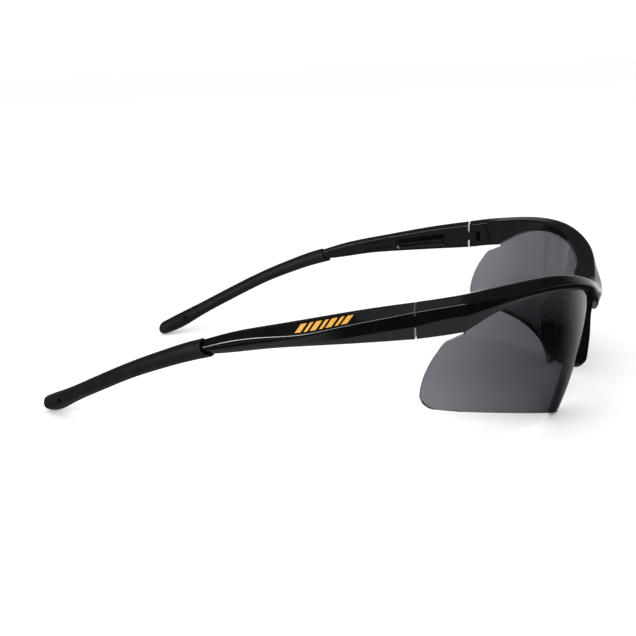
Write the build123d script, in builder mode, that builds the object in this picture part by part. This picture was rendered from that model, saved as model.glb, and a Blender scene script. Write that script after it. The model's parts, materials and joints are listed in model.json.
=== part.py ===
from build123d import *
import os
from math import sin, cos, radians, hypot, copysign

# Wrap-around safety glasses: two smoke lenses hung from a brow bar, two folding temples
# with rubber sleeves, and two soft nose pads.  Millimetres.  +Z is up, the lenses face -Y,
# the temples run to +Y and the wearer's left is +X.  The origin lies on the table, under
# the middle of the glasses.

# Driving dimensions.  Places called "from the seam" are measured along Y from the seam
# between the frame and the temples.
SEAM_Y = -37.0  # the seam itself, from the origin
SEAM_GAP = 0.5  # width of the seam

LENS_X = 17.74  # upright axis of the left lens, from the middle
LENS_Y = 9.23  # the same axis, from the seam
LENS_Z = 41.97  # height of the widest ring of the lens surface
LENS_R = 53.12  # radius of that ring
LENS_BOW = 118.0  # upright radius of the lens surface
LENS_T = 2.2  # lens thickness
LENS_CORNER_R = 1.5  # rounding of the lower nasal corner

HINGE_X = 67.0  # hinge axis, from the middle
HINGE_Y = -2.2  # hinge axis, from the seam
TONGUE_LOW = 36.3  # underside of the hinge tongue
TONGUE_HIGH = 39.4  # top of the hinge tongue
TONGUE_R = 1.9  # round end of the hinge tongue
TONGUE_PLAY = 0.2  # room round the tongue in its slot
EAR_R = 2.3  # rounding of the frame's ears about the hinge axis
SCREW_D = 1.4  # hinge screw shank
SCREW_LOW = 33.7  # underside of the screw head
SCREW_HIGH = 41.3  # end of the screw shank
SCREW_HEAD_D = 2.4
SCREW_HEAD_H = 0.8
SCREW_PLAY = 0.05  # running clearance of the tongue on the shank, on the radius

WING_PLACE = (10.5, -38.0, 20.0)  # middle of the left nose wing, y from the seam
WING_SPLAY = 19.0  # the wings open towards the face by this angle, degrees
WING_LEAN = 20.0  # and downwards by this one
WING_T = 1.5
PAD_T = 2.1
PAD_PEG_R = 1.2

SLEEVE_HOLE_D = 1.5  # small hole through the flat of the tip
CORE_H = 3.0  # height of the temple's core inside the sleeve
CORE_T = 2.4  # thickness of that core

# Working planes with their origin at the seam
plan = Plane(origin=(0, SEAM_Y, 0))
front = Plane(origin=(0, SEAM_Y, 0), x_dir=(1, 0, 0), z_dir=(0, -1, 0))
side = Plane(origin=(0, SEAM_Y, 0), x_dir=(0, 1, 0), z_dir=(1, 0, 0))
lens_section = Plane(
    origin=(LENS_X, SEAM_Y + LENS_Y, LENS_Z), x_dir=(0, -1, 0), z_dir=(-1, 0, 0)
)
lens_axis = Axis((LENS_X, SEAM_Y + LENS_Y, 0), (0, 0, 1))


def on_lens(angle):
    """Plan position on the left lens, by the angle from straight ahead in degrees."""
    turn = radians(angle)
    return LENS_X + LENS_R * sin(turn), LENS_Y - LENS_R * cos(turn)


# Cross-sections of the brow bar's left half, from the bridge to the hinge.  A row holds
# the place in plan (y from the seam), the heights of the crest, the ridge and the lower
# edge, the reach outwards of the crest, the ridge and the lower edge, the reach inwards,
# and the height of the band that turns under towards the lower edge.
brow_half = [
    ((0.0, -46.3), 34.9, 32.6, 26.2, -0.4, 1.9, 0.2, 4.0, 0.7),
    ((8.8, -45.7), 35.9, 33.4, 29.8, 0.2, 2.3, 1.0, 6.2, 0.7),
    (on_lens(0), 38.1, 35.8, 33.8, 1.9, 2.9, 1.9, 3.9, 0.7),
    (on_lens(11), 41.3, 39.4, 37.9, 1.5, 2.5, 1.5, 3.9, 0.6),
    (on_lens(22), 44.4, 42.3, 40.4, 0.7, 2.0, 1.1, 3.9, 0.7),
    (on_lens(33), 46.3, 43.8, 41.8, 0.1, 1.4, 0.9, 3.8, 0.8),
    (on_lens(44), 46.7, 44.0, 41.8, -0.1, 1.5, 0.9, 3.8, 1.0),
    (on_lens(55), 46.1, 43.6, 39.7, -0.1, 1.7, 0.9, 3.8, 2.0),
    (on_lens(66), 44.9, 42.9, 34.6, 0.2, 2.1, 1.0, 3.9, 4.9),
    ((68.0, -6.2), 44.1, 42.0, 33.9, 0.1, 2.2, 1.5, 3.5, 4.8),
    ((68.5, -SEAM_GAP / 2), 43.2, 40.9, 33.2, 0.2, 2.4, 1.9, 3.5, 3.8),
]
BLOCK_ROWS = 3  # the last rows, which make the straight hinge block
brow_rows = [((-row[0][0], row[0][1]), *row[1:]) for row in reversed(brow_half[1:])]
brow_rows += brow_half

# Cross-sections of the left temple in the same form, from the seam into the sleeve.
temple_rows = [
    ((68.50, SEAM_GAP / 2), 43.1, 40.8, 33.1, 0.2, 2.4, 1.9, 3.5, 3.8),
    ((69.25, 10.0), 41.7, 38.7, 32.3, 0.3, 2.4, 1.8, 3.1, 2.9),
    ((69.90, 20.0), 40.0, 36.4, 31.5, 0.3, 2.3, 1.4, 2.8, 1.7),
    ((70.30, 30.0), 38.1, 33.9, 30.7, 0.2, 2.3, 1.0, 2.4, 0.8),
    ((70.45, 40.0), 36.2, 32.5, 29.7, 0.1, 2.3, 0.9, 2.2, 0.7),
    ((70.10, 50.0), 34.0, 30.9, 28.2, 0.0, 2.2, 0.8, 2.2, 0.7),
    ((69.50, 59.0), 31.3, 28.8, 27.1, 0.0, 2.0, 0.7, 1.7, 0.7),
]
BAND_SLOPE = 0.33  # the band leans inwards by this much of its height

# Cross-sections of the left rubber sleeve: place in plan, middle height, half the height,
# half the thickness.
sleeve_rows = [
    ((69.8, 54.5), 29.85, 2.80, 2.65),
    ((69.1, 63.5), 27.50, 2.75, 2.60),
    ((67.9, 72.5), 24.40, 2.60, 2.55),
    ((66.1, 81.5), 20.90, 2.50, 2.50),
    ((63.4, 90.0), 17.00, 2.50, 2.50),
    ((59.8, 98.5), 12.85, 2.50, 2.50),
    ((55.6, 107.0), 8.55, 2.60, 2.50),
    ((50.6, 114.8), 4.60, 2.92, 2.45),
    ((45.5, 121.4), 2.15, 2.15, 2.20),
]
SLEEVE_TIP_R = 1.5  # rounding of the end of the sleeve
core_rows = sleeve_rows[:7]


def row_plane(rows, index):
    """Upright plane across the path of the rows, local x outwards and local y up."""
    x, y = rows[index][0]
    out_x, out_y = copysign(1, x), 0
    if abs(y) > SEAM_GAP:
        x0, y0 = rows[max(index - 1, 0)][0]
        x1, y1 = rows[min(index + 1, len(rows) - 1)][0]
        length = hypot(x1 - x0, y1 - y0)
        out_x, out_y = (y1 - y0) / length, (x0 - x1) / length
    return Plane(origin=(x, y + SEAM_Y, 0), x_dir=(out_x, out_y, 0), z_dir=(out_y, -out_x, 0))


def ridged_sections(rows, edge_r=0.55):
    """Cross-sections of the brow bar or a temple: flat inside, ridged outside."""
    sections = []
    for index, row in enumerate(rows):
        crest, ridge, low, crest_out, ridge_out, low_out, inward, band = row[1:]
        band_out = low_out + (ridge_out - low_out) * band / (ridge - low)
        with BuildSketch(row_plane(rows, index)) as section:
            with BuildLine():
                Polyline(
                    (-inward, low + 0.45),
                    (band_out - 0.35 - BAND_SLOPE * band, low),
                    (band_out, low + band),
                    (ridge_out, ridge),
                    (crest_out, crest),
                    (-inward, crest - 1.0),
                    close=True,
                )
            make_face()
            fillet(section.vertices(), edge_r)
        sections.append(section.sketch)
    return sections


def sleeve_sections(rows, half_height=None, half_thickness=None):
    """Oval cross-sections along the sleeve, at its own size or at a fixed one."""
    sections = []
    for index, (place, middle, row_height, row_thickness) in enumerate(rows):
        plane = row_plane(rows, index)
        with BuildSketch(plane) as section:
            with Locations((0, middle)):
                Ellipse(half_thickness or row_thickness, half_height or row_height)
        sections.append(section.sketch)
    return sections


with BuildPart() as left_lens:
    with BuildSketch(lens_section):
        bow_centre = (LENS_R - LENS_BOW, 0)
        with BuildLine():
            outer = CenterArc(bow_centre, LENS_BOW, -22, 27)
            inner = CenterArc(bow_centre, LENS_BOW - LENS_T, -22, 27)
            Line(outer @ 0, inner @ 0)
            Line(outer @ 1, inner @ 1)
        make_face()
    revolve(axis=lens_axis)
    # Outline from the front: straight lower edge, curved nasal edge, top edge in the brow
    with BuildSketch(front) as front_outline:
        with BuildLine():
            lower = Line((24.4, -0.2), (75.0, 15.5))
            Line(lower @ 1, (75.0, 41.0))
            top = Spline((75.0, 41.0), (64.0, 43.3), (51.0, 44.6), (37.0, 42.1), (22.0, 37.0), (9.8, 33.4))
            nasal = ThreePointArc(top @ 1, (13.6, 15.5), lower @ 0)
        make_face()
        fillet(front_outline.vertices().sort_by(Axis.Y)[0], LENS_CORNER_R)
    extrude(amount=80, mode=Mode.INTERSECT)
    # Outline from the side: rounded temporal edge with a shoulder under the hinge block
    with BuildSketch(side) as side_outline:
        with BuildLine():
            heel = ThreePointArc((-5.0, 12.8), (-1.8, 14.2), (-0.5, 17.4))
            outer_edge = ThreePointArc(heel @ 1, (-2.2, 23.9), (-5.6, 29.8))
            shoulder = ThreePointArc(outer_edge @ 1, (-6.8, 31.5), (-8.6, 32.5))
            Polyline(shoulder @ 1, (-12.0, 34.0), (-13.5, 48.0), (-60.0, 48.0), (-60.0, -20.0),
                     (-10.0, 11.85), heel @ 0)
        make_face()
    extrude(amount=100, mode=Mode.INTERSECT)

with BuildPart() as right_lens:
    mirror(left_lens.part, about=Plane.YZ)

splay, lean = radians(WING_SPLAY), radians(WING_LEAN)
wing_x, wing_y, wing_z = WING_PLACE
# Middle plane of the left nose wing: local x to the back, local z away from the nose
wing_plane = Plane(
    origin=(wing_x, wing_y + SEAM_Y, wing_z),
    x_dir=(sin(splay), cos(splay), 0),
    z_dir=(cos(splay) * cos(lean), -sin(splay) * cos(lean), sin(lean)),
)

with BuildPart() as nose_wing:
    with BuildSketch(wing_plane.offset(-WING_T / 2)) as wing_outline:
        with BuildLine():
            wing_front = Spline((-10.0, 12.0), (-8.0, 6.5), (-7.0, 0.0), (-5.7, -6.0))
            wing_toe = ThreePointArc(wing_front @ 1, (-4.6, -8.6), (-2.6, -9.4))
            wing_foot = ThreePointArc(wing_toe @ 1, (2.7, -6.6), (6.2, -0.3))
            wing_back = ThreePointArc(wing_foot @ 1, (6.1, 5.8), (2.8, 9.6))
            Line(wing_back @ 1, wing_front @ 0)
        make_face()
    extrude(amount=WING_T)
    with BuildSketch(wing_plane) as peg_hole:
        Circle(PAD_PEG_R)
    extrude(amount=WING_T, both=True, mode=Mode.SUBTRACT)

with BuildPart() as brow_frame:
    brow_sections = ridged_sections(brow_rows)
    loft(sections=brow_sections[BLOCK_ROWS - 1 : 1 - BLOCK_ROWS])
    loft(sections=brow_sections[:BLOCK_ROWS])
    loft(sections=brow_sections[-BLOCK_ROWS:])
    add(nose_wing.part)
    mirror(nose_wing.part, about=Plane.YZ)
    # Seats of the two lenses in the underside of the bar
    add(left_lens.part, mode=Mode.SUBTRACT)
    add(right_lens.part, mode=Mode.SUBTRACT)
    # Slots for the hinge tongues, open to the inside and to the seam
    slot_r = TONGUE_R + TONGUE_PLAY
    with BuildSketch(plan.offset(TONGUE_LOW - TONGUE_PLAY)):
        for hand in (1, -1):
            with Locations((hand * (HINGE_X - 2), HINGE_Y + 2)):
                Rectangle(2 * slot_r + 4, 2 * slot_r + 4)
    extrude(amount=TONGUE_HIGH - TONGUE_LOW + 2 * TONGUE_PLAY, mode=Mode.SUBTRACT)
    # Inner corners of the ears, rounded about the hinge axis
    with BuildSketch(plan.offset(SCREW_LOW - 2)):
        for hand in (1, -1):
            with Locations((hand * (HINGE_X - 2), HINGE_Y + 2)):
                Rectangle(4, 4)
            with Locations((hand * HINGE_X, HINGE_Y)):
                Circle(EAR_R, mode=Mode.SUBTRACT)
    extrude(amount=14, mode=Mode.SUBTRACT)
    # Screw holes, counterbored from below
    with BuildSketch(plan.offset(SCREW_LOW - 2)):
        with Locations((HINGE_X, HINGE_Y), (-HINGE_X, HINGE_Y)):
            Circle(SCREW_HEAD_D / 2)
    extrude(amount=2 + SCREW_HEAD_H, mode=Mode.SUBTRACT)
    with BuildSketch(plan.offset(SCREW_LOW)):
        with Locations((HINGE_X, HINGE_Y), (-HINGE_X, HINGE_Y)):
            Circle(SCREW_D / 2)
    extrude(amount=SCREW_HIGH - SCREW_LOW, mode=Mode.SUBTRACT)

with BuildPart() as left_nose_pad:
    with BuildSketch(wing_plane.offset(-WING_T / 2)):
        with BuildLine():
            pad_front = Line((-6.8, 9.0), (-5.5, -6.2))
            pad_toe = ThreePointArc(pad_front @ 1, (-4.5, -8.9), (-2.5, -9.9))
            pad_foot = ThreePointArc(pad_toe @ 1, (3.4, -7.4), (7.2, -0.5))
            pad_back = ThreePointArc(pad_foot @ 1, (7.0, 5.8), (3.4, 9.6))
            Line(pad_back @ 1, pad_front @ 0)
        make_face()
    extrude(amount=-PAD_T)
    nose_side = left_nose_pad.faces().filter_by(wing_plane).sort_by(Axis.X)[0]
    fillet(nose_side.edges(), 0.9)
    with BuildSketch(wing_plane.offset(-WING_T / 2)):
        Circle(PAD_PEG_R)
    extrude(amount=WING_T)
    # The bridge and the lens stay clear of the pad
    add(brow_frame.part, mode=Mode.SUBTRACT)

with BuildPart() as right_nose_pad:
    mirror(left_nose_pad.part, about=Plane.YZ)

with BuildPart() as left_temple:
    loft(sections=ridged_sections(temple_rows))
    loft(sections=sleeve_sections(core_rows, CORE_H / 2, CORE_T / 2))
    # Long hollow low on the inside of the temple
    with BuildSketch(side):
        with BuildLine():
            Polyline((8.5, 33.8), (8.5, 36.7), (27.0, 35.2), (28.5, 32.2), close=True)
        make_face()
    extrude(amount=HINGE_X + 0.3, mode=Mode.SUBTRACT)
    # Hinge tongue with its bore
    with BuildSketch(plan.offset(TONGUE_LOW)):
        with Locations((HINGE_X, HINGE_Y)):
            Circle(TONGUE_R)
        with Locations((HINGE_X, HINGE_Y / 2 + 1)):
            Rectangle(2 * TONGUE_R, 2 - HINGE_Y)
    extrude(amount=TONGUE_HIGH - TONGUE_LOW)
    with BuildSketch(plan.offset(TONGUE_LOW)):
        with Locations((HINGE_X, HINGE_Y)):
            Circle(SCREW_D / 2 + SCREW_PLAY)
    extrude(amount=TONGUE_HIGH - TONGUE_LOW, mode=Mode.SUBTRACT)

with BuildPart() as right_temple:
    mirror(left_temple.part, about=Plane.YZ)

with BuildPart() as left_temple_sleeve:
    loft(sections=sleeve_sections(sleeve_rows))
    sleeve_end = left_temple_sleeve.faces().sort_by(Axis.Y)[-1]
    fillet(sleeve_end.edges(), SLEEVE_TIP_R)
    # Hollow mouth with a lower lip reaching forward
    with BuildSketch(side):
        with BuildLine():
            mouth = Spline((57.0, 36.0), (58.2, 31.4), (58.6, 29.4), (57.0, 27.4), (53.8, 25.6))
            Polyline(mouth @ 1, (50.0, 25.6), (50.0, 36.0), mouth @ 0)
        make_face()
    extrude(amount=100, mode=Mode.SUBTRACT)
    add(left_temple.part, mode=Mode.SUBTRACT)
    with BuildSketch(side):
        with Locations((111.8, 6.3)):
            Circle(SLEEVE_HOLE_D / 2)
    extrude(amount=100, mode=Mode.SUBTRACT)

with BuildPart() as right_temple_sleeve:
    mirror(left_temple_sleeve.part, about=Plane.YZ)

with BuildPart() as left_hinge_screw:
    with BuildSketch(plan.offset(SCREW_LOW)):
        with Locations((HINGE_X, HINGE_Y)):
            Circle(SCREW_HEAD_D / 2)
    extrude(amount=SCREW_HEAD_H)
    with BuildSketch(plan.offset(SCREW_LOW)):
        with Locations((HINGE_X, HINGE_Y)):
            Circle(SCREW_D / 2)
    extrude(amount=SCREW_HIGH - SCREW_LOW)
    with BuildSketch(plan.offset(SCREW_LOW)):
        with Locations((HINGE_X, HINGE_Y)):
            Rectangle(SCREW_HEAD_D, 0.4)
    extrude(amount=0.4, mode=Mode.SUBTRACT)

with BuildPart() as right_hinge_screw:
    mirror(left_hinge_screw.part, about=Plane.YZ)

pieces = {
    "brow_frame": brow_frame,
    "left_lens": left_lens,
    "right_lens": right_lens,
    "left_nose_pad": left_nose_pad,
    "right_nose_pad": right_nose_pad,
    "left_temple": left_temple,
    "right_temple": right_temple,
    "left_temple_sleeve": left_temple_sleeve,
    "right_temple_sleeve": right_temple_sleeve,
    "left_hinge_screw": left_hinge_screw,
    "right_hinge_screw": right_hinge_screw,
}
os.makedirs("parts", exist_ok=True)
for name, piece in pieces.items():
    piece.part.label = name
    export_step(piece.part, f"parts/{name}.step")
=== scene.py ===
import json
import math

import bmesh
import bpy
import numpy as np
from mathutils import Matrix, Vector


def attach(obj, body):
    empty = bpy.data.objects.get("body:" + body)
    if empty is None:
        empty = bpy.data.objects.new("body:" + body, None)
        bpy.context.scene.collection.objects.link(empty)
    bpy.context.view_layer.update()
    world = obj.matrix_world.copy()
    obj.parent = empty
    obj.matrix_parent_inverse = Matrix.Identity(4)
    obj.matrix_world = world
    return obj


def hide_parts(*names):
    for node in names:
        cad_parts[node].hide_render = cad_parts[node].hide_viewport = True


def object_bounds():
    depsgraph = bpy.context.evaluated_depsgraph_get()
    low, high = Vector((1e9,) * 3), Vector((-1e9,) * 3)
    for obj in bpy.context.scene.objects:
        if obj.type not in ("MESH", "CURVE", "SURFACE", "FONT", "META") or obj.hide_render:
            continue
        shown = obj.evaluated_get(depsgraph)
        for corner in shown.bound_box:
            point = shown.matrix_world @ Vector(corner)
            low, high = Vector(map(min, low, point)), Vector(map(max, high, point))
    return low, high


# Safety glasses. Metres, in the row frame: +Z up, the lenses face -Y, the temples run to +Y,
# the wearer's left is +X.

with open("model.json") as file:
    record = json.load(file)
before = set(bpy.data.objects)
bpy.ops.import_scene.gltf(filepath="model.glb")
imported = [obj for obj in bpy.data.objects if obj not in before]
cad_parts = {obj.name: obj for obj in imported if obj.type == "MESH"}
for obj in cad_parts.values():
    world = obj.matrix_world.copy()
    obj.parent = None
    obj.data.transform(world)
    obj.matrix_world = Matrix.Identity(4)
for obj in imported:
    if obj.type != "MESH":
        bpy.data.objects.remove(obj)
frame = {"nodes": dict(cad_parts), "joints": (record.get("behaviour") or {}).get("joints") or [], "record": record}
cad_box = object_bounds()
nodes = frame["nodes"]


# ---------------------------------------------------------------- node helpers
class Shader:
    """A material's node tree, with a call that makes a node and links or sets its inputs."""

    def __init__(self, name):
        self.material = bpy.data.materials.new(name)
        self.material.use_nodes = True
        self.tree = self.material.node_tree
        self.tree.nodes.clear()
        self.output = self.tree.nodes.new("ShaderNodeOutputMaterial")
        self.place = self.make("TexCoord").outputs["Object"]

    def make(self, kind, inputs=None, **settings):
        node = self.tree.nodes.new("ShaderNode" + kind)
        for key, value in settings.items():
            setattr(node, key, value)
        for key, value in (inputs or {}).items():
            if isinstance(value, bpy.types.NodeSocket):
                self.tree.links.new(value, node.inputs[key])
            else:
                node.inputs[key].default_value = value
        return node

    def noise(self, scale, detail=3.0, place=None, roughness=0.5):
        inputs = {
            "Vector": place or self.place,
            "Scale": scale,
            "Detail": detail,
            "Roughness": roughness,
        }
        return self.make("TexNoise", inputs).outputs["Fac"]

    def ramp(self, fac, stops):
        node = self.make("ValToRGB", {"Fac": fac})
        elements = node.color_ramp.elements
        while len(elements) < len(stops):
            elements.new(0.5)
        for element, (position, colour) in zip(elements, stops):
            element.position = position
            element.color = (*colour, 1)
        return node.outputs["Color"]

    def span(self, value, low, high, to_low, to_high):
        inputs = {
            "Value": value,
            "From Min": low,
            "From Max": high,
            "To Min": to_low,
            "To Max": to_high,
        }
        return self.make("MapRange", inputs).outputs["Result"]

    def bump(self, height, strength, distance):
        inputs = {"Height": height, "Strength": strength, "Distance": distance}
        return self.make("Bump", inputs).outputs["Normal"]

    def finish(self, **inputs):
        sockets = {key.replace("_", " "): value for key, value in inputs.items()}
        shader = self.make("BsdfPrincipled", sockets)
        self.tree.links.new(shader.outputs["BSDF"], self.output.inputs["Surface"])
        return self.material


def grey(value):
    return (value, value, value, 1)


# ---------------------------------------------------------------- materials
LENS_SHADE_REAR_Y, LENS_SHADE_FRONT_Y = -0.042, -0.080  # where the lens's painted shade is lightest and darkest


def glossy_black():
    """Injection-moulded black plastic: a deep gloss, faint flow ripple and fine handling haze."""
    s = Shader("glossy_black_plastic")
    ripple = s.noise(260, 2)
    haze = s.noise(900, 5, roughness=0.7)
    stops = [(0.3, (0.0012, 0.0011, 0.0013)), (0.7, (0.0024, 0.0022, 0.0026))]
    colour = s.ramp(s.noise(120, 3), stops)
    return s.finish(
        Base_Color=colour,
        Roughness=s.span(haze, 0.35, 0.7, 0.05, 0.12),
        IOR=1.5,
        Specular_IOR_Level=0.55,
        Normal=s.bump(ripple, 0.05, 0.0002),
    )


def smoke_lens():
    """Smoke polycarbonate: a grey mass that absorbs along the light's path, and the smoke's grey
    surface colour, with painted shade darkening it towards the front of the glasses."""
    s = Shader("smoke_polycarbonate")
    mass = s.make("VolumeAbsorption", {"Color": (0.0, 0.0, 0.06, 1), "Density": 480.0})
    s.tree.links.new(mass.outputs["Volume"], s.output.inputs["Volume"])
    # Painted shade: the smoke's grey base colour is made darker from the rear of the lens to its front.
    split = s.make("SeparateXYZ", {"Vector": s.place})
    front = s.span(split.outputs["Y"], LENS_SHADE_REAR_Y, LENS_SHADE_FRONT_Y, 0.0, 1.0)
    stops = [(0.0, (0.54, 0.54, 0.57)), (0.4, (0.37, 0.37, 0.395)), (1.0, (0.28, 0.28, 0.30))]
    smoke_grey_and_painted_shade = s.ramp(front, stops)
    return s.finish(
        Base_Color=smoke_grey_and_painted_shade,
        Roughness=s.span(s.noise(700, 4), 0.35, 0.7, 0.0, 0.03),
        IOR=1.585,
        Transmission_Weight=1.0,
    )


def pad_rubber():
    """Soft moulded nose pad: smooth satin black."""
    s = Shader("nose_pad_rubber")
    colour = s.ramp(s.noise(300, 4), [(0.3, (0.004, 0.004, 0.0045)), (0.7, (0.007, 0.007, 0.0075))])
    return s.finish(
        Base_Color=colour,
        Roughness=s.span(s.noise(1200, 4), 0.3, 0.7, 0.26, 0.4),
        Normal=s.bump(s.noise(2500, 3), 0.15, 0.0001),
    )


def sleeve_rubber():
    """Matte overmoulded rubber with a fine grain, paler where it is handled."""
    s = Shader("sleeve_rubber")
    grain = s.noise(4500, 3, roughness=0.6)
    colour = s.ramp(s.noise(90, 5), [(0.3, (0.0018, 0.0017, 0.0018)), (0.7, (0.0042, 0.0038, 0.004))])
    return s.finish(
        Base_Color=colour,
        Roughness=s.span(s.noise(220, 4), 0.3, 0.7, 0.5, 0.68),
        Specular_IOR_Level=0.3,
        Normal=s.bump(grain, 0.35, 0.0001),
    )


def screw_steel():
    """Turned stainless steel."""
    s = Shader("screw_steel")
    streak = s.make("Mapping", {"Vector": s.place, "Scale": (1.0, 1.0, 14.0)}).outputs["Vector"]
    rings = s.noise(900, 3, place=streak)
    return s.finish(
        Base_Color=s.ramp(rings, [(0.3, (0.42, 0.42, 0.43)), (0.7, (0.62, 0.62, 0.64))]),
        Metallic=1.0,
        Roughness=s.span(rings, 0.3, 0.7, 0.22, 0.4),
        Normal=s.bump(rings, 0.2, 0.0001),
    )


def mark_ink():
    """Pad-printed amber ink, slightly thin and worn."""
    s = Shader("mark_ink")
    wear = s.noise(1500, 5, roughness=0.7)
    return s.finish(
        Base_Color=s.ramp(wear, [(0.3, (0.40, 0.17, 0.008)), (0.55, (0.50, 0.24, 0.014))]),
        Roughness=s.span(wear, 0.3, 0.7, 0.3, 0.45),
        Normal=s.bump(wear, 0.1, 0.0001),
    )


materials = {
    "mark": mark_ink(),
    "glossy_black": glossy_black(),
    "smoke_lens": smoke_lens(),
    "pad_rubber": pad_rubber(),
    "sleeve_rubber": sleeve_rubber(),
    "steel": screw_steel(),
}
for subpart in frame["record"]["subparts"]:
    mesh = nodes[subpart["node"]].data
    mesh.materials.clear()
    mesh.materials.append(materials[subpart["material_slot"]])


# ---------------------------------------------------------------- shape helpers
MM = 0.001
hinge = {joint["child"]: joint for joint in frame["joints"]}["left_temple_arm"]["pos_m"]
HINGE_X = hinge[0] / MM
SEAM_Y = hinge[1] / MM + 2.2  # the seam between frame and temples; millimetres below are from it
ROUND_STEPS = 8  # points round each corner of a cross-section
FLAT_STEPS = 10  # points along each flat between two corners
RIDGE = 3  # the corner of a cross-section that is the ridge
BAND_SLOPE = 0.33  # the band under the ridge leans inwards by this much of its height


def natural_spline(knots, values, places):
    """Natural cubic spline through values (one row a knot), read at places."""
    knots, values, places = (np.asarray(item, float) for item in (knots, values, places))
    gaps = np.diff(knots)
    slopes = np.diff(values, axis=0) / gaps[:, None]
    count = len(knots)
    system = np.eye(count)
    target = np.zeros_like(values)
    for i in range(1, count - 1):
        system[i, i - 1 : i + 2] = gaps[i - 1], 2 * (gaps[i - 1] + gaps[i]), gaps[i]
        target[i] = 6 * (slopes[i] - slopes[i - 1])
    bends = np.linalg.solve(system, target)
    i = np.clip(np.searchsorted(knots, places, side="right") - 1, 0, count - 2)
    gap = gaps[i][:, None]
    before = (places - knots[i])[:, None]
    after = gap - before
    return (
        (bends[i] * after**3 + bends[i + 1] * before**3) / (6 * gap)
        + (values[i] / gap - bends[i] * gap / 6) * after
        + (values[i + 1] / gap - bends[i + 1] * gap / 6) * before
    )


def smoothstep(low, high, value):
    t = np.clip((value - low) / (high - low), 0, 1)
    return t * t * (3 - 2 * t)


def rounded_outline(corners):
    """Points round a closed outline of (u, v, radius) corners, the same number for any row."""
    points = []
    count = len(corners)
    for i, (u, v, radius) in enumerate(corners):
        here = np.array((u, v))
        to_last = np.array(corners[i - 1][:2]) - here
        to_next = np.array(corners[(i + 1) % count][:2]) - here
        reach_last, reach_next = np.linalg.norm(to_last), np.linalg.norm(to_next)
        to_last, to_next = to_last / reach_last, to_next / reach_next
        half = 0.5 * math.acos(max(-1.0, min(1.0, float(to_last @ to_next))))
        share = 0.78 if i == RIDGE else 0.48
        reach = min(radius / math.tan(half), share * reach_last, share * reach_next)
        radius = reach * math.tan(half)
        middle = here + (to_last + to_next) / np.linalg.norm(to_last + to_next) * radius / math.sin(half)
        start, end = here + to_last * reach - middle, here + to_next * reach - middle
        angle = math.atan2(start[1], start[0])
        turn = math.remainder(math.atan2(end[1], end[0]) - angle, 2 * math.pi)
        for step in range(ROUND_STEPS):
            a = angle + turn * step / (ROUND_STEPS - 1)
            points.append(middle + radius * np.array((math.cos(a), math.sin(a))))
    outline = []
    for i in range(count):
        arc = points[i * ROUND_STEPS : (i + 1) * ROUND_STEPS]
        leave, arrive = arc[-1], points[((i + 1) * ROUND_STEPS) % len(points)]
        outline += arc
        outline += [leave + (arrive - leave) * k / (FLAT_STEPS + 1) for k in range(1, FLAT_STEPS + 1)]
    return np.array(outline)


def across(places, index, square=False):
    """Direction outwards across the path at a row; square keeps it along X."""
    x = places[index][0]
    if square:
        return np.array((math.copysign(1, x), 0.0))
    run = np.array(places[min(index + 1, len(places) - 1)]) - np.array(places[max(index - 1, 0)])
    run = run / np.linalg.norm(run)
    return np.array((run[1], -run[0]))


def tube(name, rings, material):
    """A closed mesh through rings of points in millimetres from the seam."""
    rings = np.asarray(rings)
    count, size = rings.shape[:2]
    vertices = rings.reshape(-1, 3).copy()
    vertices[:, 1] += SEAM_Y
    faces = []
    for i in range(count - 1):
        for j in range(size):
            k = (j + 1) % size
            faces.append((i * size + j, i * size + k, (i + 1) * size + k, (i + 1) * size + j))
    faces.append(tuple(range(size - 1, -1, -1)))
    faces.append(tuple(range((count - 1) * size, count * size)))
    return solid(name, vertices * MM, faces, material)


def solid(name, vertices, faces, material):
    mesh = bpy.data.meshes.new(name)
    mesh.from_pydata([tuple(v) for v in vertices], [], faces)
    work = bmesh.new()
    work.from_mesh(mesh)
    bmesh.ops.recalc_face_normals(work, faces=work.faces)
    work.to_mesh(mesh)
    work.free()
    mesh.materials.append(material)
    piece = bpy.data.objects.new(name, mesh)
    bpy.context.scene.collection.objects.link(piece)
    return piece


def prism(name, outline, low, high, frame_of=None):
    """A closed prism over a plan outline, or over an outline in the frame (origin, u, v, w)."""
    origin, u, v, w = frame_of or (np.zeros(3), np.eye(3)[0], np.eye(3)[1], np.eye(3)[2])
    rings = [[origin + u * a + v * b + w * h for a, b in outline] for h in (low, high)]
    return tube(name, rings, materials["glossy_black"])


def combine(piece, other, operation):
    """Unites or cuts piece with other, which is used up."""
    boolean = piece.modifiers.new("combine", "BOOLEAN")
    boolean.operation = operation
    boolean.solver = "EXACT"
    boolean.object = other
    apply_modifiers(piece)
    bpy.data.objects.remove(other)


def apply_modifiers(piece):
    graph = bpy.context.evaluated_depsgraph_get()
    mesh = bpy.data.meshes.new_from_object(piece.evaluated_get(graph))
    piece.modifiers.clear()
    piece.data = mesh


def smooth(piece, angle=32):
    mesh = piece.data
    mesh.polygons.foreach_set("use_smooth", [True] * len(mesh.polygons))
    mesh.set_sharp_from_angle(angle=math.radians(angle))


def mirrored(piece, name):
    """A mirror image of piece on the other side of the glasses."""
    twin = piece.copy()
    twin.name = name
    twin.data = piece.data.copy()
    twin.data.transform(Matrix.Diagonal((-1, 1, 1, 1)))
    twin.data.flip_normals()
    bpy.context.scene.collection.objects.link(twin)
    return twin


def ring_points(place, direction, outline):
    x, y = place
    return np.stack(
        (x + direction[0] * outline[:, 0], y + direction[1] * outline[:, 0], outline[:, 1]), axis=1
    )


def path_knots(places):
    steps = [math.dist(a, b) for a, b in zip(places, places[1:])]
    return np.concatenate(((0,), np.cumsum(steps)))


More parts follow.
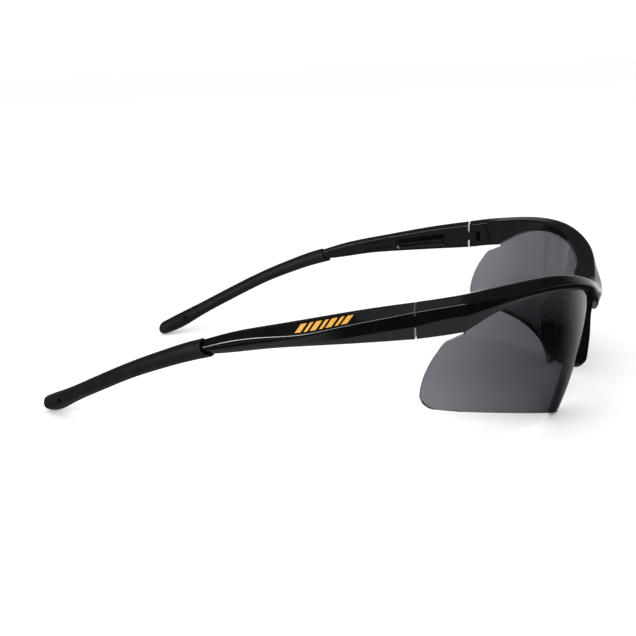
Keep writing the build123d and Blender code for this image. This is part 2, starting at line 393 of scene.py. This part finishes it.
def ridged_rings(rows, ends_square, stretch=None, spacing=0.35):
    """Rings of a bar that is flat inside and ridged outside, and how far along each lies."""
    places = [row[0] for row in rows]
    rings = []
    for index, (place, *row) in enumerate(rows):
        crest, ridge, low, crest_out, ridge_out, low_out, inward, band, ridge_r = row
        band_out = low_out + (ridge_out - low_out) * band / (ridge - low)
        corners = [
            (-inward, low + 0.45, 0.6),
            (band_out - 0.35 - BAND_SLOPE * band, low, 0.5),
            (band_out, low + band, 0.45),
            (ridge_out, ridge, ridge_r),
            (crest_out, crest, 0.7),
            (-inward, crest - 1.0, 0.6),
        ]
        rings.append(ring_points(place, across(places, index, ends_square(index)), rounded_outline(corners)))
    first, last = stretch or (0, len(rows))
    rings = np.array(rings[first:last])
    knots = path_knots(places[first:last])
    stations = np.linspace(0, knots[-1], int(knots[-1] / spacing) + 1)
    fine = natural_spline(knots, rings.reshape(last - first, -1), stations)
    return fine.reshape(len(stations), -1, 3), stations


OUTLINE_POINTS = 6 * (ROUND_STEPS + FLAT_STEPS)


def flat_points(corner):
    """Indices of the points on the flat after a corner, and how far across it each lies."""
    start = corner * (ROUND_STEPS + FLAT_STEPS) + ROUND_STEPS - 1
    index = np.arange(start, start + FLAT_STEPS + 2) % OUTLINE_POINTS
    return index, np.linspace(0, 1, FLAT_STEPS + 2)


UPPER_FACE, INNER_FACE = 3, 5  # corners that the upper outer and the inner face start from


# ---------------------------------------------------------------- brow bar
LENS_X, LENS_Y, LENS_R = 17.74, 9.23, 53.12


def on_lens(angle):
    turn = math.radians(angle)
    return LENS_X + LENS_R * math.sin(turn), LENS_Y - LENS_R * math.cos(turn)


# Place in plan, heights of crest, ridge and lower edge, their reach outwards, the reach
# inwards, the height of the band that turns under, and the ridge's radius
brow_half = [
    ((0.0, -46.3), 34.9, 32.6, 26.2, -0.4, 1.9, 0.2, 4.0, 0.7, 0.7),
    ((8.8, -45.7), 35.9, 33.4, 29.8, 0.2, 2.3, 1.0, 6.2, 0.7, 0.8),
    (on_lens(0), 38.1, 35.8, 33.8, 1.9, 2.9, 1.9, 3.9, 0.7, 1.1),
    (on_lens(11), 41.3, 39.4, 37.9, 1.5, 2.5, 1.5, 3.9, 0.6, 1.5),
    (on_lens(22), 44.4, 42.3, 40.4, 0.7, 2.0, 1.1, 3.9, 0.7, 1.5),
    (on_lens(33), 46.3, 43.8, 41.8, 0.1, 1.4, 0.9, 3.8, 0.8, 1.4),
    (on_lens(44), 46.7, 44.0, 41.8, -0.1, 1.5, 0.9, 3.8, 1.0, 1.2),
    (on_lens(55), 46.1, 43.6, 39.7, -0.1, 1.7, 0.9, 3.8, 2.0, 0.9),
    (on_lens(66), 44.9, 42.9, 34.6, 0.2, 2.1, 1.0, 3.9, 4.9, 0.7),
    ((68.0, -6.2), 44.1, 42.0, 33.9, 0.1, 2.2, 1.5, 3.5, 4.8, 0.6),
    ((68.5, -0.25), 43.2, 40.9, 33.2, 0.2, 2.4, 1.9, 3.5, 3.8, 0.6),
]
brow_rows = [((-row[0][0], row[0][1]), *row[1:]) for row in reversed(brow_half[1:])] + brow_half
last_brow = len(brow_rows) - 1
BLOCK_ROWS = 3  # the rows at each end that make a straight hinge block
right_block = (0, BLOCK_ROWS)
curved_bar = (BLOCK_ROWS - 1, last_brow + 2 - BLOCK_ROWS)
left_block = (last_brow + 1 - BLOCK_ROWS, last_brow + 1)
stretches = []
for stretch in (right_block, curved_bar, left_block):
    rings = ridged_rings(brow_rows, lambda index: index in (0, last_brow), stretch)[0]
    stretches.append(rings[1:] if stretches else rings)
brow = tube("brow_bar", np.concatenate(stretches), materials["glossy_black"])

# Nose wings: thin plates under the bridge
WING_PLACE = np.array((10.5, -38.0, 20.0))
SPLAY, LEAN, WING_T = math.radians(19), math.radians(20), 1.5
WING_POINTS = 70  # points round the outline of a wing
WING_EDGE_R = 0.4  # rounding of its edges
wing_u = np.array((math.sin(SPLAY), math.cos(SPLAY), 0))
wing_w = np.array(
    (math.cos(SPLAY) * math.cos(LEAN), -math.sin(SPLAY) * math.cos(LEAN), math.sin(LEAN))
)
wing_v = np.cross(wing_w, wing_u)
wing_corners = [
    (-10.0, 12.5), (-8.0, 6.5), (-7.0, 0.0), (-5.7, -6.0), (-4.6, -8.6), (-2.6, -9.4), (0.4, -8.6),
    (2.9, -6.4), (5.2, -3.4), (6.4, 0.0), (6.9, 3.0), (5.9, 6.2), (2.8, 10.2),
]
wing_knots = path_knots(wing_corners)
wing_fine = natural_spline(wing_knots, wing_corners, np.linspace(0, wing_knots[-1], WING_POINTS))
for hand in (1, -1):
    flip = np.array((hand, 1, 1))
    axes = (WING_PLACE * flip, wing_u * flip, wing_v * flip, wing_w * flip)
    wing = prism("wing", wing_fine, -WING_T / 2, WING_T / 2, axes)
    bevel = wing.modifiers.new("edge", "BEVEL")
    bevel.width, bevel.segments = WING_EDGE_R * MM, 3
    bevel.limit_method, bevel.angle_limit = "ANGLE", math.radians(60)
    apply_modifiers(wing)
    combine(brow, wing, "UNION")

# Hinge: tongue slots, ears rounded about the hinge axis, and counterbores for the screws
TONGUE_LOW, TONGUE_HIGH, TONGUE_R, PLAY = 36.3, 39.4, 1.9, 0.2
TONGUE_ROOT_Y = 1.2  # how far the tongue reaches into the temple
HINGE_Y, EAR_R, HEAD_R, HEAD_TOP = -2.2, 2.3, 1.2, 34.5
BELOW_BAR, ABOVE_BAR = 31.0, 46.0  # heights that the cutters of the hinge block span
full_turn = [2 * math.pi * step / 40 for step in range(40)]
slot_reach = TONGUE_R + PLAY
for hand in (1, -1):
    left, right = sorted((hand * (HINGE_X + slot_reach), hand * 58.0))
    box = [(left, HINGE_Y - slot_reach), (right, HINGE_Y - slot_reach), (right, 3.0), (left, 3.0)]
    combine(brow, prism("slot", box, TONGUE_LOW - PLAY, TONGUE_HIGH + PLAY), "DIFFERENCE")
    arc = [math.radians(90 + 90 * step / 12) for step in range(13)]
    ear = [(hand * (HINGE_X + EAR_R * math.cos(a)), HINGE_Y + EAR_R * math.sin(a)) for a in arc]
    ear += [(hand * 62.0, HINGE_Y), (hand * 62.0, 3.0), (hand * HINGE_X, 3.0)]
    combine(brow, prism("ear", ear, BELOW_BAR, ABOVE_BAR), "DIFFERENCE")
    bore = [
        (hand * HINGE_X + HEAD_R * math.cos(a), HINGE_Y + HEAD_R * math.sin(a)) for a in full_turn
    ]
    combine(brow, prism("bore", bore, BELOW_BAR, HEAD_TOP), "DIFFERENCE")
smooth(brow)
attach(brow, "frame")
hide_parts("brow_frame")

# ---------------------------------------------------------------- temples
HOLLOW_DEPTH, RIB_HEIGHT, RIB_PITCH = 1.1, 0.16, 1.5
temple_rows = [
    ((68.50, 0.25), 43.1, 40.8, 33.1, 0.2, 2.4, 1.9, 3.5, 3.8, 0.6),
    ((69.25, 10.0), 41.7, 38.7, 32.3, 0.3, 2.4, 1.8, 3.1, 2.9, 0.6),
    ((69.90, 20.0), 40.0, 36.4, 31.5, 0.3, 2.3, 1.4, 2.8, 1.7, 0.8),
    ((70.30, 30.0), 38.1, 33.9, 30.7, 0.2, 2.3, 1.0, 2.4, 0.8, 1.3),
    ((70.45, 40.0), 36.2, 32.5, 29.7, 0.1, 2.3, 0.9, 2.2, 0.7, 2.4),
    ((70.10, 50.0), 34.0, 30.9, 28.2, 0.0, 2.2, 0.8, 2.2, 0.7, 2.8),
    ((69.50, 59.0), 31.3, 28.8, 27.1, 0.0, 2.0, 0.7, 1.7, 0.7, 2.8),
]
rings, stations = ridged_rings(temple_rows, lambda index: index == 0, spacing=0.25)

# Long hollow and a patch of moulded ribs on the inner face
index, share = flat_points(INNER_FACE)
along = rings[:, :, 1].mean(axis=1)[:, None]
height = 1 - share[None, :]
hollow = smoothstep(8.6, 10.0, along) * (1 - smoothstep(26.0, 29.0, along))
hollow = hollow * smoothstep(0.12, 0.26, height) * (1 - smoothstep(0.52, 0.66, height))
ribs = smoothstep(29.5, 30.5, along) * (1 - smoothstep(41.0, 42.0, along))
ribs = ribs * smoothstep(0.15, 0.3, height) * (1 - smoothstep(0.7, 0.85, height))
ribs = ribs * smoothstep(-0.2, 0.6, np.sin(along * 2 * math.pi / RIB_PITCH))
rings[:, index, 0] += HOLLOW_DEPTH * hollow - RIB_HEIGHT * ribs
left_temple = tube("left_temple_arm_shell", rings, materials["glossy_black"])
tongue = [
    (HINGE_X + TONGUE_R * math.cos(a), HINGE_Y + TONGUE_R * math.sin(a))
    for a in (-math.pi * step / 24 for step in range(25))
]
tongue += [(HINGE_X - TONGUE_R, TONGUE_ROOT_Y), (HINGE_X + TONGUE_R, TONGUE_ROOT_Y)]
combine(left_temple, prism("tongue", tongue, TONGUE_LOW, TONGUE_HIGH), "UNION")
smooth(left_temple)
right_temple = mirrored(left_temple, "right_temple_arm_shell")

# ---------------------------------------------------------------- printed marks
index, share = flat_points(UPPER_FACE)
MARK_LIFT = 0.03  # the ink lies this far above and below the plastic's surface
BAR_STARTS = (16.8, 19.2, 21.0, 23.4, 25.2, 27.6, 29.4)
BAR_WIDTHS = (1.6, 0.9, 1.6, 0.9, 1.6, 0.9, 1.6)
BAR_SLANT = 1.6
BAR_LOW, BAR_TALL = 0.16, 0.66  # where a bar starts and how much it covers, across the face


def on_upper_face(y, across_share):
    """Point and outward direction on the temple's upper outer face, y from the seam."""
    line = rings[:, index, :]
    spot = np.interp(across_share, share, np.arange(len(share)))
    low = min(int(spot), len(share) - 2)
    strip = line[:, low] + (line[:, low + 1] - line[:, low]) * (spot - low)
    point = np.array([np.interp(y, strip[:, 1], strip[:, axis]) for axis in range(3)])
    i = int(np.argmin(abs(strip[:, 1] - y)))
    side = line[i, -1] - line[i, 0]
    forward = strip[min(i + 1, len(strip) - 1)] - strip[max(i - 1, 0)]
    out = np.cross(forward, side)
    out = out / np.linalg.norm(out)
    return point, out if out[0] > 0 else -out


def bar_mesh(start, width):
    """A slanted printed bar as a thin closed patch that follows the face."""
    long_steps, wide_steps = 16, 4
    sheets = []
    for lift in (-MARK_LIFT, MARK_LIFT):
        sheet = []
        for i in range(long_steps + 1):
            f = i / long_steps
            for j in range(wide_steps + 1):
                y = start + width * j / wide_steps - BAR_SLANT * (f - 0.5)
                point, out = on_upper_face(y, BAR_LOW + BAR_TALL * f)
                sheet.append(point + out * lift)
        sheets.append(sheet)
    vertices = np.array(sheets).reshape(-1, 3)
    vertices[:, 1] += SEAM_Y
    row, layer = wide_steps + 1, (long_steps + 1) * (wide_steps + 1)
    faces = []
    for i in range(long_steps):
        for j in range(wide_steps):
            quad = (i * row + j, i * row + j + 1, (i + 1) * row + j + 1, (i + 1) * row + j)
            faces += [quad, tuple(v + layer for v in reversed(quad))]
    rim = list(range(row))
    rim += [i * row + wide_steps for i in range(1, long_steps + 1)]
    rim += [long_steps * row + j for j in range(wide_steps - 1, -1, -1)]
    rim += [i * row for i in range(long_steps - 1, 0, -1)]
    for a, b in zip(rim, rim[1:] + rim[:1]):
        faces.append((a, b, b + layer, a + layer))
    return vertices * MM, faces


vertices, faces = [], []
for start, width in zip(BAR_STARTS, BAR_WIDTHS):
    bar_vertices, bar_faces = bar_mesh(start, width)
    offset = len(vertices)
    vertices += list(bar_vertices)
    faces += [tuple(v + offset for v in face) for face in bar_faces]
left_mark = solid("left_temple_mark", vertices, faces, materials["mark"])
smooth(left_mark, 50)
right_mark = mirrored(left_mark, "right_temple_mark")

# ---------------------------------------------------------------- rubber sleeves
sleeve_rows = [
    ((69.8, 54.5), 29.85, 2.80, 2.65),
    ((69.1, 63.5), 27.50, 2.75, 2.60),
    ((67.9, 72.5), 24.40, 2.60, 2.55),
    ((66.1, 81.5), 20.90, 2.50, 2.50),
    ((63.4, 90.0), 17.00, 2.50, 2.50),
    ((59.8, 98.5), 12.85, 2.50, 2.50),
    ((55.6, 107.0), 8.55, 2.60, 2.50),
    ((50.6, 114.8), 4.60, 2.92, 2.45),
    ((45.5, 121.4), 2.15, 2.15, 2.20),
]
AROUND = 72
OVAL_POWER = 2.3  # 2 would make the sleeve's cross-section an ellipse
GROOVES = (62.5, 70.5, 78.5, 87.0, 95.5, 103.5)
GROOVE_DEPTH, GROOVE_SLANT = 0.22, 1.6
HOLE_Y, HOLE_Z, HOLE_R = 111.8, 6.3, 0.75  # the small hole through the tip
angles = np.linspace(0, 2 * math.pi, AROUND, endpoint=False)
places = [row[0] for row in sleeve_rows]
centres, sizes, outs = [], [], []
for index, (place, middle, half_height, half_thickness) in enumerate(sleeve_rows):
    centres.append((*place, middle))
    sizes.append((half_height, half_thickness))
    outs.append(across(places, index))
knots = path_knots(places)
TIP_LENGTH = 2.1
MOUTH_S = 2.8  # the mouth's middle, along the sleeve's path
# Stations: inner wall of the mouth, its rim, the run, and the rounded tip
run = np.arange(MOUTH_S, knots[-1] - TIP_LENGTH, 0.3)
tip = knots[-1] - TIP_LENGTH + TIP_LENGTH * np.sin(np.linspace(0, math.pi / 2, 14)[1:])
stations = np.concatenate((run, tip))
centre = natural_spline(knots, np.array(centres), stations)
size = natural_spline(knots, np.array(sizes), stations)
out = natural_spline(knots, np.array(outs), stations)
out = out / np.linalg.norm(out, axis=1)[:, None]
tip_share = np.clip((stations - (knots[-1] - TIP_LENGTH)) / TIP_LENGTH, 0, 1)
shrink = np.sqrt(np.clip(1 - tip_share**2, 0.0, 1))
forward = np.gradient(centre, stations, axis=0)


def sleeve_ring(i, scale=1.0, inset=0.0):
    """Ring at a station: an oval, a little flatter on its sides than an ellipse."""
    c, s = np.cos(angles), np.sin(angles)
    u = np.sign(c) * abs(c) ** (2 / OVAL_POWER) * (size[i][1] * scale - inset)
    v = np.sign(s) * abs(s) ** (2 / OVAL_POWER) * (size[i][0] * scale - inset)
    return centre[i] + np.outer(u, (out[i][0], out[i][1], 0)) + np.outer(v, (0, 0, 1))


rings_sleeve = []
# The mouth: its lower lip reaches forward
level = np.sin(angles)
lip = 1.4 * smoothstep(-0.75, 0.35, level) - 1.4 * smoothstep(0.45, 0.95, -level)
for depth in (3.0, 1.6, 0.5):
    ring = sleeve_ring(0, inset=0.55)
    rings_sleeve.append(ring + np.outer(lip + depth, forward[0]))
rings_sleeve.append(sleeve_ring(0, inset=0.42) + np.outer(lip + 0.12, forward[0]))
rings_sleeve.append(sleeve_ring(0, inset=0.22) + np.outer(lip, forward[0]))
rings_sleeve.append(sleeve_ring(0, inset=0.06) + np.outer(lip + 0.08, forward[0]))
for i, station in enumerate(stations):
    fade = 1 - smoothstep(0.0, 3.4, station - MOUTH_S)
    ring = sleeve_ring(i, scale=shrink[i])
    ring = ring + np.outer((lip + 0.3) * fade, forward[i])
    # Short slanted grooves low on the outer face
    outer = smoothstep(0.1, 0.5, np.cos(angles))
    low_band = smoothstep(-0.95, -0.7, level) * (1 - smoothstep(-0.2, 0.05, level))
    for groove in GROOVES:
        line = abs(centre[i][1] + GROOVE_SLANT * level - groove)
        cut = (1 - smoothstep(0.18, 0.42, line)) * outer * low_band
        ring = ring - np.outer(GROOVE_DEPTH * cut * np.cos(angles), (out[i][0], out[i][1], 0))
    rings_sleeve.append(ring)
left_sleeve = tube("left_sleeve_skin", rings_sleeve, materials["sleeve_rubber"])
hole_outline = [(HOLE_Y + HOLE_R * math.cos(a), HOLE_Z + HOLE_R * math.sin(a)) for a in full_turn]
along_x = (np.zeros(3), np.array((0, 1, 0)), np.array((0, 0, 1)), np.array((1, 0, 0)))
hole = prism("hole", hole_outline, 40.0, 62.0, along_x)
combine(left_sleeve, hole, "DIFFERENCE")
smooth(left_sleeve, 40)
right_sleeve = mirrored(left_sleeve, "right_sleeve_skin")

for hand, temple, mark, sleeve in (
    ("left", left_temple, left_mark, left_sleeve),
    ("right", right_temple, right_mark, right_sleeve),
):
    body = hand + "_temple_arm"
    for piece, replaced, slot in (
        (temple, hand + "_temple", "glossy_black"),
        (sleeve, hand + "_temple_sleeve", "sleeve_rubber"),
        (mark, None, None),
    ):
        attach(piece, body)
        if replaced:
            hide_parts(replaced)


# ---------------------------------------------------------------- stage
FLOOR_DROP = 0.00005  # the floor lies this far under the glasses
bpy.ops.mesh.primitive_plane_add(size=40, location=(0, 0, cad_box[0].z - FLOOR_DROP))
floor = bpy.context.object
floor.name = "floor"
floor.data.materials.append(Shader("pale_floor").finish(Base_Color=grey(0.96), Roughness=0.9))
floor.visible_glossy = False

# Brightness of the reflected room against the sine of the elevation, mapped to 0..1
ROOM_LEVELS = [
    (0.0, 0.5),
    (0.13, 0.42),
    (0.23, 0.02),
    (0.33, 0.0),
    (0.39, 0.24),
    (0.46, 0.24),
    (0.56, 0.02),
    (0.78, 0.08),
    (1.0, 0.14),
]
WALL_LEVELS = [(0.28, 0.0), (0.42, 0.6), (0.64, 0.6), (0.76, 0.0)]
FAR_WALL = (0.45, 0.9)  # the bright wall lies beyond the glasses, by the direction's X


def studio_world():
    """White surroundings; what shines back off the object is a dim room with a brighter band."""
    world = bpy.data.worlds.new("studio")
    bpy.context.scene.world = world
    world.use_nodes = True
    tree = world.node_tree
    tree.nodes.clear()

    def make(kind, **settings):
        node = tree.nodes.new("ShaderNode" + kind)
        for key, value in settings.items():
            setattr(node, key, value)
        return node

    def link(source, node, socket):
        tree.links.new(source, node.inputs[socket])

    def ramp(value, levels):
        node = make("ValToRGB")
        link(value, node, "Fac")
        elements = node.color_ramp.elements
        for _ in levels[2:]:
            elements.new(0.5)
        for element, (position, level) in zip(elements, levels):
            element.position = position
            element.color = grey(level)
        return node.outputs["Color"]

    split = make("SeparateXYZ")
    link(make("TexCoord").outputs["Generated"], split, 0)
    height = make("MapRange")
    height.inputs["From Min"].default_value = -1
    link(split.outputs["Z"], height, "Value")
    far = make("MapRange", interpolation_type="SMOOTHSTEP")
    far.inputs["From Min"].default_value, far.inputs["From Max"].default_value = FAR_WALL
    link(split.outputs["X"], far, "Value")
    wall = make("MixRGB", blend_type="MULTIPLY")
    wall.inputs["Fac"].default_value = 1
    link(ramp(height.outputs["Result"], WALL_LEVELS), wall, 1)
    link(far.outputs["Result"], wall, 2)
    level = make("MixRGB", blend_type="ADD")
    level.inputs["Fac"].default_value = 1
    link(ramp(height.outputs["Result"], ROOM_LEVELS), level, 1)
    link(wall.outputs["Color"], level, 2)
    room = make("Background")
    link(level.outputs["Color"], room, "Color")
    white = make("Background")
    white.inputs["Strength"].default_value = 1.1
    path = make("LightPath")
    mix = make("MixShader")
    tree.links.new(path.outputs["Is Glossy Ray"], mix.inputs["Fac"])
    tree.links.new(white.outputs[0], mix.inputs[1])
    tree.links.new(room.outputs[0], mix.inputs[2])
    output = make("OutputWorld")
    tree.links.new(mix.outputs[0], output.inputs["Surface"])
    white.inputs["Color"].default_value = (1, 1, 1, 1)


studio_world()


def softbox(name, place, size, power):
    """A rectangular light turned to the middle of the glasses."""
    light = bpy.data.lights.new(name, "AREA")
    light.shape = "RECTANGLE"
    light.size, light.size_y = size
    light.energy = power
    lamp = bpy.data.objects.new(name, light)
    bpy.context.scene.collection.objects.link(lamp)
    lamp.location = place
    lamp.rotation_mode = "QUATERNION"
    lamp.rotation_quaternion = (Vector(LIT_POINT) - Vector(place)).to_track_quat("-Z", "Y")


LIT_POINT = (0, 0, 0.03)
softbox("strip_light", (-0.95, 0.12, 0.42), (1.45, 0.10), 9.5)
softbox("overhead_light", (-0.42, 0.29, 1.08), (0.8, 0.8), 0.5)

# Camera at the photograph's viewing angle
camera_data = bpy.data.cameras.new("camera")
camera = bpy.data.objects.new("camera", camera_data)
bpy.context.scene.collection.objects.link(camera)
right = Vector((0.24142, -0.96989, -0.03205)).normalized()
back = -Vector((0.93988, 0.24192, -0.24103)).normalized()
up = back.cross(right).normalized()
right = up.cross(back)
turn = Matrix((right, up, back)).transposed().to_4x4()
camera.matrix_world = Matrix.Translation((-0.32275, -0.07627, 0.10325)) @ turn
camera_data.lens = 57.68
camera_data.sensor_width = 36
bpy.context.scene.camera = camera
bpy.context.scene.view_settings.view_transform = "Standard"
